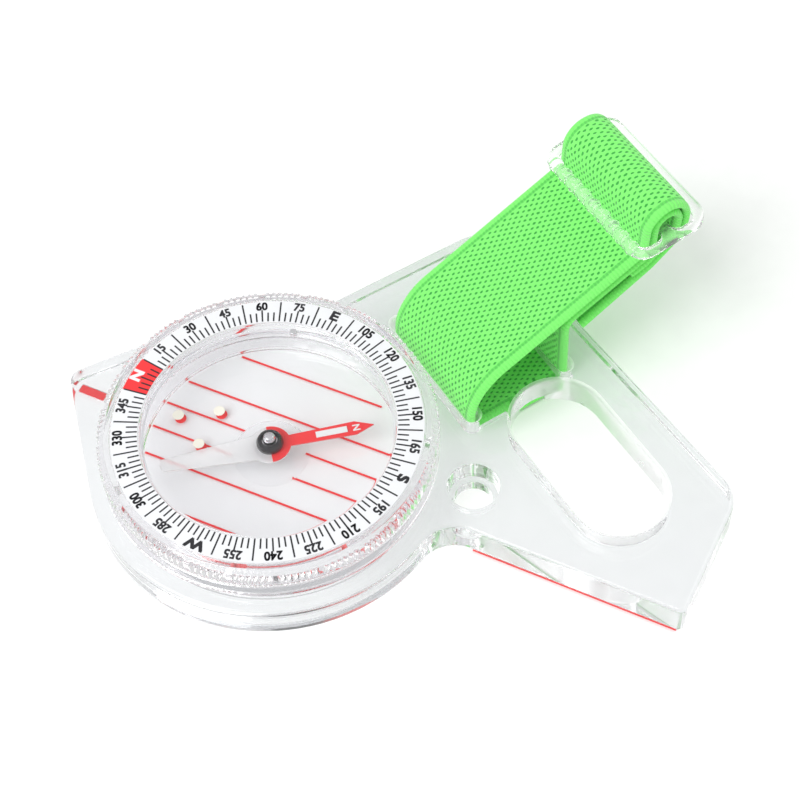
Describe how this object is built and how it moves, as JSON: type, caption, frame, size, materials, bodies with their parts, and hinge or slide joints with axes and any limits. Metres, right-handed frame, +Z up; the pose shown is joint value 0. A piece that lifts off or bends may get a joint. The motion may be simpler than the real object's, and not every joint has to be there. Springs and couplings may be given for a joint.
{
  "type": "thumb compass",
  "caption": "Clear acrylic thumb compass with a turning degree dial, a liquid capsule with a red needle, and a neon green elastic thumb strap with a clear buckle",
  "frame": {"origin": "on the dial's and needle's axis, in the plane of the plate's underside", "axes": "+Z up, out of the dial's face; +Y the direction of travel, from the tail to the nose; +X to the right of it, towards the strap"},
  "size_m": [0.0799, 0.0871, 0.0275],
  "materials": {
    "clear_acrylic": "clear polished acrylic",
    "red_print": "red ink and red plastic",
    "white_print": "white printed ring",
    "white_needle": "translucent white plastic",
    "black_plastic": "black needle hub",
    "luminous_paint": "pale luminous paint",
    "green_webbing": "neon green knitted elastic",
    "green_thread": "dark green thread",
    "steel": "bare steel"
  },
  "bodies": {
    "root": {"baseplate": "clear_acrylic", "index_line": "red_print", "edge_line": "red_print", "strap_webbing": "green_webbing"},
    "dial": {"bezel_ring": "clear_acrylic", "dial_scale": "white_print", "retaining_ring": "clear_acrylic", "capsule_base": "clear_acrylic", "capsule_seal": "white_print", "capsule_lens": "clear_acrylic", "filler_plug": "steel", "pivot_seat": "clear_acrylic", "pivot_pin": "steel", "luminous_dot_tip": "luminous_paint", "luminous_dot_left": "luminous_paint", "luminous_dot_right": "luminous_paint"},
    "needle": {"needle_magnet": "steel", "needle_south_arm": "white_needle", "needle_north_arm": "red_print", "needle_window": "white_print", "needle_hub": "black_plastic", "jewel_bearing": "steel"},
    "strap_end": {"strap_buckle": "clear_acrylic", "strap_fold": "green_webbing", "strap_anchor": "green_webbing", "strap_stitching": "green_thread"}
  },
  "joints": [
    {"name": "dial_turn", "type": "hinge", "parent": "root", "child": "dial", "pos_m": [0, 0, 0.005], "axis": [0, 0, 1], "continuous": true},
    {"name": "needle_swing", "type": "hinge", "parent": "dial", "child": "needle", "pos_m": [0, 0, 0.0053], "axis": [0, 0, 1], "continuous": true},
    {"name": "strap_stretch", "type": "slide", "parent": "root", "child": "strap_end", "axis": [0.7762, -0.4851, 0.4027], "range_m": [0, 0.008], "stiffness_N_per_m": 150}
  ]
}
